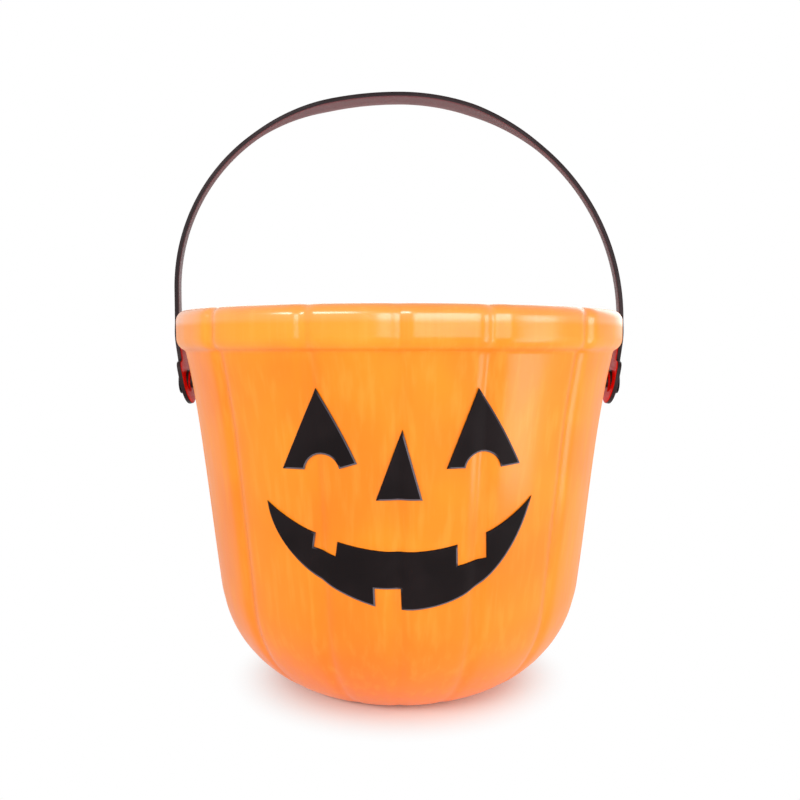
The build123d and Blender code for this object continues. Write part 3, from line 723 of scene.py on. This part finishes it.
STRAP_EDGE = 0.45
STRAP_GRID = (1.6, 1.4)
half_thickness = STRAP_THICKNESS / 2
strap_edge = rounded_edge(-half_thickness, half_thickness, STRAP_EDGE, STRAP_EDGE)
strap = blank("strap", [strap_outline] + eye_cuts, strap_edge, along_strap, STRAP_GRID)
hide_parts("carry_strap")
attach(strap, "handle")

# %% [markdown]
# The photograph shows only the dark end of one stud at the strap's pivots, so the fixing is a guess: a
# snap stud with a domed head outside, a journal through the eye, a pin through the wall and a barb that
# holds a round cap inside the pail.
# They are turned shapes, so each is a profile of x and radius carried round the pivot axis.
# A CAD cylinder has sharp rims; these have the small rounds that catch a highlight.

# %% Turned pieces on the pivot
TURN_COLUMNS = 56


def turned(name, line, side, hollow=False):
    """A profile of distances along the axis and radii, carried round the pivot: y is the radius times the
    cosine and z the radius times the sine. A hollow profile is a closed line; any other starts and
    ends on the axis. The left side mirrors the right, with its rows turned round to face outwards."""
    turn = np.linspace(0.0, 2 * np.pi, TURN_COLUMNS, endpoint=False)
    x, radius = np.array(line, dtype=float).T[:, :, None]
    height = pivot_height + radius * np.sin(turn)
    rings = np.stack(np.broadcast_arrays(side * x, radius * np.cos(turn), height), axis=-1)[::side]
    if hollow:
        return put_mesh(name, rings.reshape(-1, 3), [grid_quads(len(rings), TURN_COLUMNS, wrap_rows=True)])
    return put_mesh(name, *closed_stack(rings[1:-1], rings[0, 0], rings[-1, 0]))


def eased(first, corner, last):
    """Points of a small round between two sides of a profile, for a list of points."""
    return eased_corner(first, corner, last).T.tolist()


# %% Studs
SEAT_PROUD, SEAT_INSIDE, SEAT_RADIUS = 0.8, 1.9, 7.0
JOURNAL_RADIUS, PIN_RADIUS, PRESS_CLEARANCE, RUNNING_CLEARANCE = 3.2, 2.0, 0.05, 0.08
HEAD_RADIUS, HEAD_EDGE, HEAD_DOME, HEAD_GAP = 6.0, 0.4, 0.7, 0.2
CAP_RADIUS, CAP_THICKNESS, CAP_CHAMFER = 6.5, 2.4, 0.5
BARB_RADIUS, BARB_TIP_RADIUS, BARB_LENGTH, BARB_GAP = 2.5, 1.3, 1.8, 0.1
EYE_BOSS_RADIUS, EYE_BOSS_PROUD = 5.5, 0.15
EDGE, DOME_ROWS = 0.25, 10
SHARP_ANGLE = np.radians(50.0)

wall_at_pivot = float(straight_wall(pivot_height, pivot_height, 0.0, 1)[0][0])
seat_outside = wall_at_pivot + SEAT_PROUD
seat_inside = wall_at_pivot - WALL - SEAT_INSIDE
cap_face = seat_inside - CAP_THICKNESS
pad_middle = leg_middle - BEND_ABOVE_PIVOT * np.tan(PAD_TILT)
boss_half = half_thickness / np.cos(PAD_TILT) + EYE_BOSS_RADIUS * np.tan(PAD_TILT) + EYE_BOSS_PROUD
head_face = pad_middle + boss_half + HEAD_GAP
barb_back = cap_face - BARB_GAP
barb_tip = barb_back - BARB_LENGTH
dome_radius = (HEAD_RADIUS ** 2 + HEAD_DOME ** 2) / (2 * HEAD_DOME)
dome_start = np.arcsin((HEAD_RADIUS - EDGE) / dome_radius)
dome_centre = head_face + HEAD_EDGE + HEAD_DOME - dome_radius
dome = np.stack(arc(dome_centre, 0.0, dome_radius, dome_start, 0.0, DOME_ROWS), axis=-1).tolist()

tip_round = eased([barb_tip, BARB_TIP_RADIUS - EDGE], [barb_tip, BARB_TIP_RADIUS],
                  [barb_tip + EDGE, BARB_TIP_RADIUS + EDGE / 2])
head_back = eased([head_face, HEAD_RADIUS - EDGE], [head_face, HEAD_RADIUS], [head_face + EDGE, HEAD_RADIUS])
head_rim = head_face + HEAD_EDGE
stud_line = [
    [barb_tip, 0.0],
    *tip_round,
    [barb_back - EDGE, BARB_RADIUS - EDGE / 3],
    [barb_back, BARB_RADIUS - EDGE / 2],
    [barb_back, PIN_RADIUS],
    [seat_outside, PIN_RADIUS],
    [seat_outside, JOURNAL_RADIUS],
    [(seat_outside + head_face) / 2, JOURNAL_RADIUS],
    [head_face, JOURNAL_RADIUS],
    *head_back,
    *eased([head_rim - EDGE / 2, HEAD_RADIUS], [head_rim, HEAD_RADIUS], dome[0]),
    *dome[1:],
]
cap_bore = PIN_RADIUS + PRESS_CLEARANCE
cap_flat = CAP_RADIUS - CAP_CHAMFER
cap_line = [
    [seat_inside, CAP_RADIUS],
    [seat_inside, cap_bore],
    [cap_face, cap_bore],
    *eased([cap_face, cap_flat], [cap_face, CAP_RADIUS], [cap_face + CAP_CHAMFER, CAP_RADIUS]),
]


def washer(low, high, hole, rim):
    """Profile of a ring between two places on the axis, with a bevel on the corners of its rim."""
    flat = rim - EDGE
    return [[high, flat], [high, hole], [low, hole], [low, flat], [low + EDGE, rim], [high - EDGE, rim]]


seat_line = washer(seat_inside, seat_outside, cap_bore, SEAT_RADIUS)
journal_bore = JOURNAL_RADIUS + RUNNING_CLEARANCE
boss_line = washer(pad_middle - boss_half, pad_middle + boss_half, journal_bore, EYE_BOSS_RADIUS)

studs, caps, seats, bosses = [], [], [], []
for side, word in ((1, "right"), (-1, "left")):
    studs.append(turned(f"{word}_stud", stud_line, side))
    caps.append(turned(f"{word}_cap", cap_line, side, hollow=True))
    seats.append(turned(f"{word}_stud_seat", seat_line, side, hollow=True))
    bosses.append(turned(f"{word}_eye_boss", boss_line, side, hollow=True))
    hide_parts(f"{word}_pivot_stud")
    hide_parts(f"{word}_stud_cap")

# The bosses' level through their thickness puts the strap's painted reflection of the pail on their side to
# the pail
for piece in bosses:
    places = np.empty(3 * len(piece.data.vertices), dtype=np.float32)
    piece.data.vertices.foreach_get("co", places)
    across = np.abs(places[::3].astype(float)) / MILLIMETRE
    mark(piece, "level", (across - pad_middle) / boss_half * half_thickness)

for pieces, body, slot in ((studs, "pail", "stud_plastic"), (caps, "pail", "stud_plastic"),
                           (seats, "pail", "pail_plastic"), (bosses, "handle", "strap_plastic")):
    for piece in pieces:
        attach(piece, body)
        piece.data.set_sharp_from_angle(angle=SHARP_ANGLE)

# %% [markdown]
# Blow-moulded plastic is never one flat colour. The melt flows down the mould and leaves faint upright
# streaks, its thickness wanders, and the mould's blasted steel leaves a fine grain.
# One node group makes those three marks from the object's own coordinates, and each plastic uses them
# with its own scales, so that the marks stay with the piece from any side.

# %% Node helpers
def linear(red, green, blue):
    """A colour as it is written in a paint program, as the linear values that the shader takes, by the
    sRGB curve."""
    written = np.array([red, green, blue]) / 255.0
    light = np.where(written <= 0.04045, written / 12.92, ((written + 0.055) / 1.055) ** 2.4)
    return (*[float(v) for v in light], 1.0)


def add_node(tree, kind, inputs=(), **settings):
    """A node with its settings, whose inputs are given by name as a value or as a socket to link."""
    node = tree.nodes.new(kind)
    for name, value in settings.items():
        setattr(node, name, value)
    for name, value in dict(inputs).items():
        if isinstance(value, bpy.types.NodeSocket):
            tree.links.new(value, node.inputs[name])
        else:
            node.inputs[name].default_value = value
    return node


# Places of a Mix node's sockets for colours, which share their names with those for values
MIX_SHARE, MIX_FIRST, MIX_SECOND, MIX_RESULT = 0, 6, 7, 2


def blend_colour(tree, share, first, second):
    """The socket of a colour that goes from first to second by a share."""
    inputs = {MIX_SHARE: share, MIX_FIRST: first, MIX_SECOND: second}
    return add_node(tree, "ShaderNodeMix", inputs, data_type="RGBA").outputs[MIX_RESULT]


def remap(tree, value, low, high, to_low=0.0, to_high=1.0):
    """The socket of a value taken smoothly from one range to another."""
    inputs = {"Value": value, "From Min": low, "From Max": high, "To Min": to_low, "To Max": to_high}
    return add_node(tree, "ShaderNodeMapRange", inputs, interpolation_type="SMOOTHSTEP").outputs["Result"]


# %% Marks of the moulding
marks = bpy.data.node_groups.new("moulding_marks", "ShaderNodeTree")
marks.interface.new_socket("Vector", in_out="INPUT", socket_type="NodeSocketVector")
for name in ("Wander", "Streak", "Grain"):
    marks.interface.new_socket(f"{name} Scale", in_out="INPUT", socket_type="NodeSocketFloat")
    marks.interface.new_socket(name, in_out="OUTPUT", socket_type="NodeSocketFloat")
given = add_node(marks, "NodeGroupInput").outputs
STREAK_STRETCH = (1.0, 1.0, 0.05)
drawn_out = add_node(marks, "ShaderNodeMapping", {"Vector": given["Vector"], "Scale": STREAK_STRETCH})
made = {}
for name, vector, detail in (("Wander", given["Vector"], 2.0), ("Streak", drawn_out.outputs[0], 3.0),
                             ("Grain", given["Vector"], 2.0)):
    inputs = {"Vector": vector, "Scale": given[f"{name} Scale"], "Detail": detail}
    made[name] = add_node(marks, "ShaderNodeTexNoise", inputs).outputs[0]
add_node(marks, "NodeGroupOutput", made)
print("node group", marks.name, "puts out", list(made))


def new_material(name):
    """An empty material with its node tree, its Principled shader and the object's coordinates."""
    material = bpy.data.materials.new(name)
    material.use_nodes = True
    tree = material.node_tree
    shader = tree.nodes["Principled BSDF"]
    coordinates = add_node(tree, "ShaderNodeTexCoord").outputs["Object"]
    return material, tree, shader, coordinates


def set_marks(tree, coordinates, wander_scale, streak_scale, grain_scale):
    """The three marks of the moulding at these scales, as sockets by name."""
    inputs = {"Vector": coordinates, "Wander Scale": wander_scale, "Streak Scale": streak_scale,
              "Grain Scale": grain_scale}
    return add_node(tree, "ShaderNodeGroup", inputs, node_tree=marks).outputs


def set_relief(tree, shader, reliefs):
    """Relief on the surface, one Bump node after another, from pairs of a height value and its metres."""
    normal = None
    for height, distance in reliefs:
        bump = add_node(tree, "ShaderNodeBump", {"Height": height, "Distance": distance})
        if normal:
            tree.links.new(normal, bump.inputs["Normal"])
        normal = bump.outputs["Normal"]
    tree.links.new(normal, shader.inputs["Normal"])


# %% [markdown]
# The orange plastic looks slightly translucent in the photograph: grazing places go pale, the bottom stays
# deep, the hollow rim band is lighter, and a streak of gloss lies along its top edge. Here the lighter rim
# band is painted light, and the deeper, pinker foot is painted shade with a painted reflection of the pale
# floor.
# Light scattered inside the plastic could be rendered, but colours and gloss that follow the height take
# less time and are easy to set. The marks of the moulding break them up.

# %% Orange pail plastic
orange, tree, shader, coordinates = new_material("orange_pail_plastic")
spots = set_marks(tree, coordinates, wander_scale=22.0, streak_scale=320.0, grain_scale=1100.0)
level = add_node(tree, "ShaderNodeSeparateXYZ", {"Vector": coordinates}).outputs["Z"]
WALL_DEEP, WALL_PALE = linear(246, 128, 8), linear(252, 141, 15)
# The foot's colours are painted shade with a painted reflection of the floor; the rim band's colours are
# painted light
FOOT_PAINTED_SHADE_DEEP, FOOT_PAINTED_SHADE_PALE = linear(248, 126, 24), linear(254, 136, 34)
RIM_PAINTED_LIGHT_DEEP, RIM_PAINTED_LIGHT_PALE = linear(248, 138, 14), linear(254, 154, 34)
STREAK_PALE = linear(255, 172, 70)
# Heights in metres over which the foot's painted shade turns to the wall's colour, the wall's colour and its
# gloss to the rim band's painted light and gloss, and the band's gloss to that of its top edge
FOOT_END, RIM_START, GLOSS_START, TOP_START = (0.0, 0.09), (0.1575, 0.161), (0.157, 0.161), (0.169, 0.172)
# The part of a mark's range that its values fill, and the part above its middle
MARK_RANGE, UPPER_RANGE = (0.3, 0.7), (0.45, 0.75)
STREAK_SHARE, ROUGHNESS = (0.0, 0.22), (0.40, 0.50)
WALL_GLOSS, BAND_GLOSS, TOP_GLOSS = 0.21, 0.28, 1.0
WANDER_RELIEF, GRAIN_RELIEF = 0.0012, 0.00002

wandering = remap(tree, spots["Wander"], *MARK_RANGE)
wall_colour = blend_colour(tree, wandering, WALL_DEEP, WALL_PALE)
foot_painted_shade_and_reflection = blend_colour(tree, wandering, FOOT_PAINTED_SHADE_DEEP, FOOT_PAINTED_SHADE_PALE)
rim_painted_light = blend_colour(tree, wandering, RIM_PAINTED_LIGHT_DEEP, RIM_PAINTED_LIGHT_PALE)
body_colour = blend_colour(tree, remap(tree, level, *FOOT_END), foot_painted_shade_and_reflection, wall_colour)
pail_colour = blend_colour(tree, remap(tree, level, *RIM_START), body_colour, rim_painted_light)
streaking = remap(tree, spots["Streak"], *UPPER_RANGE, *STREAK_SHARE)
band_gloss = remap(tree, level, *GLOSS_START, WALL_GLOSS, BAND_GLOSS)
tree.links.new(blend_colour(tree, streaking, pail_colour, STREAK_PALE), shader.inputs["Base Color"])
tree.links.new(remap(tree, spots["Streak"], *MARK_RANGE, *ROUGHNESS), shader.inputs["Roughness"])
tree.links.new(remap(tree, level, *TOP_START, band_gloss, TOP_GLOSS), shader.inputs["Coat Weight"])
SHEEN_TINT = linear(255, 190, 175)
finish = {"Specular IOR Level": 0.16, "Coat Roughness": 0.22, "Coat IOR": 1.75,
          "Sheen Weight": 0.25, "Sheen Roughness": 0.4, "Sheen Tint": SHEEN_TINT}
for name, value in finish.items():
    shader.inputs[name].default_value = value
set_relief(tree, shader, ((spots["Wander"], WANDER_RELIEF), (spots["Grain"], GRAIN_RELIEF)))
for piece in [pail] + seats:
    piece.data.materials.append(orange)
print(orange.name, "on", [piece.name for piece in [pail] + seats])

# %% [markdown]
# In the photograph the strap looks black along its edges, and dull mauve on the side to the pail, with a
# strong red near the ends. The mauve is a painted reflection of the pale floor and surroundings, and the red
# is a painted reflection of the orange pail. They could be left to the renderer, but then the lights would
# decide it. So the painted reflection is laid on by the level through the thickness, which every blank
# carries, and by place.
# The studs are black, and the face is a dull black film with a painted grey highlight on its lower and right
# edges.

# %% Strap, stud and film
DARK_WANDER, DARK_STREAK = 60.0, 300.0


def dark_plastic(name, deep, pale, roughness, specular, grain_scale, relief):
    """A dark plastic: two near colours blended by the wander, and a roughness that follows the grain. It
    gives the material, its tree, its shader, its colour socket and the object's coordinates."""
    material, tree, shader, coordinates = new_material(name)
    spots = set_marks(tree, coordinates, DARK_WANDER, DARK_STREAK, grain_scale)
    colour = blend_colour(tree, remap(tree, spots["Wander"], *MARK_RANGE), deep, pale)
    tree.links.new(colour, shader.inputs["Base Color"])
    tree.links.new(remap(tree, spots["Grain"], *MARK_RANGE, *roughness), shader.inputs["Roughness"])
    shader.inputs["Specular IOR Level"].default_value = specular
    set_relief(tree, shader, ((spots["Grain"], relief),))
    return material, tree, shader, colour, coordinates


DEEP_BLACK, PALE_BLACK = linear(34, 24, 26), linear(44, 32, 34)
# The mauves and the red are a painted reflection of the floor and of the orange pail on the strap's side to
# the pail
PAINTED_REFLECTION_MAUVE, PAINTED_REFLECTION_DARK_MAUVE, PAINTED_REFLECTION_PALE_MAUVE = linear(130, 84, 88), linear(100, 66, 70), linear(176, 148, 152)
# The grey is a painted highlight on the face film's lower and right edges
PAINTED_PAIL_REFLECTION_RED, PAINTED_HIGHLIGHT_GREY = linear(212, 4, 3), linear(100, 94, 100)
# Levels in millimetres where the painted reflection on the side to the pail begins. Then, in metres, heights
# where the crown's and the ends' painted reflection begin, and distances back where the far side's does
PAIL_SIDE, CROWN_START, END_START, FAR_SIDE = (-0.75, -1.05), (0.20, 0.265), (0.172, 0.160), (0.001, 0.012)

strap_painted_reflection_plastic, tree, shader, edge_colour, coordinates = dark_plastic(
    "strap_plastic_with_painted_reflection", DEEP_BLACK, PALE_BLACK, roughness=(0.34, 0.48), specular=0.12,
    grain_scale=1500.0, relief=0.00002)
through = add_node(tree, "ShaderNodeAttribute", attribute_name="level").outputs["Fac"]
place = add_node(tree, "ShaderNodeSeparateXYZ", {"Vector": coordinates}).outputs
painted_mauve_reflection = blend_colour(tree, remap(tree, place["Z"], *CROWN_START), PAINTED_REFLECTION_DARK_MAUVE, PAINTED_REFLECTION_MAUVE)
painted_mauve_reflection = blend_colour(tree, remap(tree, place["Y"], *FAR_SIDE), painted_mauve_reflection, PAINTED_REFLECTION_PALE_MAUVE)
painted_reflection_colour = blend_colour(tree, remap(tree, place["Z"], *END_START), painted_mauve_reflection, PAINTED_PAIL_REFLECTION_RED)
strap_black_and_painted_reflection = blend_colour(tree, remap(tree, through, *PAIL_SIDE), edge_colour, painted_reflection_colour)
tree.links.new(strap_black_and_painted_reflection, shader.inputs["Base Color"])

stud_black, *_ = dark_plastic(
    "black_stud_plastic", DEEP_BLACK, PALE_BLACK, roughness=(0.3, 0.42), specular=0.5,
    grain_scale=1500.0, relief=0.00002)
film_black, tree, shader, black, _ = dark_plastic(
    "black_face_film", linear(24, 19, 20), linear(30, 24, 25), roughness=(0.5, 0.6), specular=0.05,
    grain_scale=2200.0, relief=0.00001)
# A painted grey highlight on the film's lower and right edges
painted_highlight_share = add_node(tree, "ShaderNodeAttribute", attribute_name="painted_highlight").outputs["Fac"]
tree.links.new(blend_colour(tree, painted_highlight_share, black, PAINTED_HIGHLIGHT_GREY), shader.inputs["Base Color"])
for material, pieces in ((strap_painted_reflection_plastic, [strap] + bosses), (stud_black, studs + caps),
                         (film_black, [left_eye, right_eye, nose_film, smile_film])):
    for piece in pieces:
        piece.data.materials.append(material)
    print(material.name, "on", [piece.name for piece in pieces])

# %% [markdown]
# The photograph is a studio picture on white: light from all round, soft boxes, and no horizon.
# The floor is a pale sheet that keeps a small soft shadow and fades to white a little way off, and the
# world behind it is the same white to the camera and in reflections.
# A picture of a studio could light the pail too, but soft boxes are simple to place: a wide one for the
# middle of the front, one high on the left and a small one low on the right for those sides, and one
# behind for the views from the back.

# %% Floor
FLOOR_HALF, FLOOR_DROP = 3000.0, 0.1
PAPER, WHITE = (0.9, 0.9, 0.9, 1.0), (1.0, 1.0, 1.0, 1.0)
SHADOW_FADE = (0.044, 0.085)
corners = np.array([[-1, -1], [1, -1], [1, 1], [-1, 1]]) * FLOOR_HALF
floor = put_mesh("floor", np.column_stack([corners, np.full(4, -FLOOR_DROP)]), [np.array([[0, 1, 2, 3]])])
floor_paper, tree, shader, coordinates = new_material("white_floor_paper")
for name, value in {"Base Color": PAPER, "Roughness": 0.9, "Specular IOR Level": 0.0}.items():
    shader.inputs[name].default_value = value


def calculate(tree, operation, first, second):
    """The socket of an operation on two values."""
    return add_node(tree, "ShaderNodeMath", {0: first, 1: second}, operation=operation).outputs[0]


def seen_directly(tree):
    """A socket that is 1 for rays from the camera, from a reflection and through glass, else 0."""
    rays = add_node(tree, "ShaderNodeLightPath").outputs
    glints = calculate(tree, "MAXIMUM", rays["Is Glossy Ray"], rays["Is Transmission Ray"])
    return calculate(tree, "MAXIMUM", rays["Is Camera Ray"], glints)


away = add_node(tree, "ShaderNodeVectorMath", {0: coordinates}, operation="LENGTH").outputs["Value"]
share = calculate(tree, "MULTIPLY", seen_directly(tree), remap(tree, away, *SHADOW_FADE))
white = add_node(tree, "ShaderNodeEmission", {"Color": WHITE, "Strength": 1.0}).outputs[0]
mixed = add_node(tree, "ShaderNodeMixShader", {0: share, 1: shader.outputs[0], 2: white}).outputs[0]
tree.links.new(mixed, tree.nodes["Material Output"].inputs["Surface"])
floor.data.materials.append(floor_paper)

# %% World
world = bpy.data.worlds.new("white_studio")
world.use_nodes = True
bpy.context.scene.world = world
tree = world.node_tree
AMBIENT = 0.32
ambient = tree.nodes["Background"]
ambient.inputs["Color"].default_value = WHITE
ambient.inputs["Strength"].default_value = AMBIENT
backdrop = add_node(tree, "ShaderNodeBackground", {"Color": WHITE, "Strength": 1.0}).outputs[0]
layers = {0: seen_directly(tree), 1: ambient.outputs[0], 2: backdrop}
mixed = add_node(tree, "ShaderNodeMixShader", layers).outputs[0]
tree.links.new(mixed, tree.nodes["World Output"].inputs["Surface"])
print("ambient light", AMBIENT)

# %% Soft boxes
AIM = Vector((0.0, 0.0, 0.12))


def soft_box(name, place, size, power):
    """A soft light at a place in metres, with a width and a height, turned to the middle of the pail."""
    light = bpy.data.lights.new(name, "AREA")
    light.shape = "RECTANGLE"
    light.size, light.size_y = size
    light.energy = power
    lamp = bpy.data.objects.new(name, light)
    lamp.location = place
    lamp.visible_camera = False
    lamp.rotation_euler = (AIM - Vector(place)).to_track_quat("-Z", "Y").to_euler()
    bpy.context.scene.collection.objects.link(lamp)
    print(name, "power", power)


# Each light is its place, its width and height, all in metres, and its power in watts
SOFT_BOXES = {
    "right_strip_light": ((0.31, -0.18, 0.095), (0.11, 0.19), 0.36),
    "front_soft_box": ((0.34, -1.14, 0.24), (1.10, 0.40), 6.4),
    "left_soft_box": ((-0.585, -0.717, 0.48), (0.66, 0.18), 4.2),
    "back_soft_box": ((0.25, 1.15, 0.60), (1.60, 0.90), 6.0),
}
for name, settings in SOFT_BOXES.items():
    soft_box(name, *settings)

# %% [markdown]
# The camera stands close to the pail, a little below the rim and tipped down by a few degrees.
# Its distance and lens come from the sizes of the rim and the base in the photograph, which is square.

# %% Camera
CAMERA_PLACE = (0.0004, -0.430, 0.1604)
CAMERA_TIP = np.radians(3.45)
SENSOR, LENS, NEAREST = 36.0, 39.4, 0.01
camera = bpy.data.objects.new("camera", bpy.data.cameras.new("camera"))
camera.data.sensor_width = SENSOR
camera.data.lens = LENS
camera.data.clip_start = NEAREST
camera.location = CAMERA_PLACE
camera.rotation_euler = (np.pi / 2 - CAMERA_TIP, 0.0, 0.0)
bpy.context.scene.collection.objects.link(camera)
bpy.context.scene.camera = camera
bpy.context.scene.view_settings.view_transform = "Standard"
print("camera at", CAMERA_PLACE, "lens", LENS)
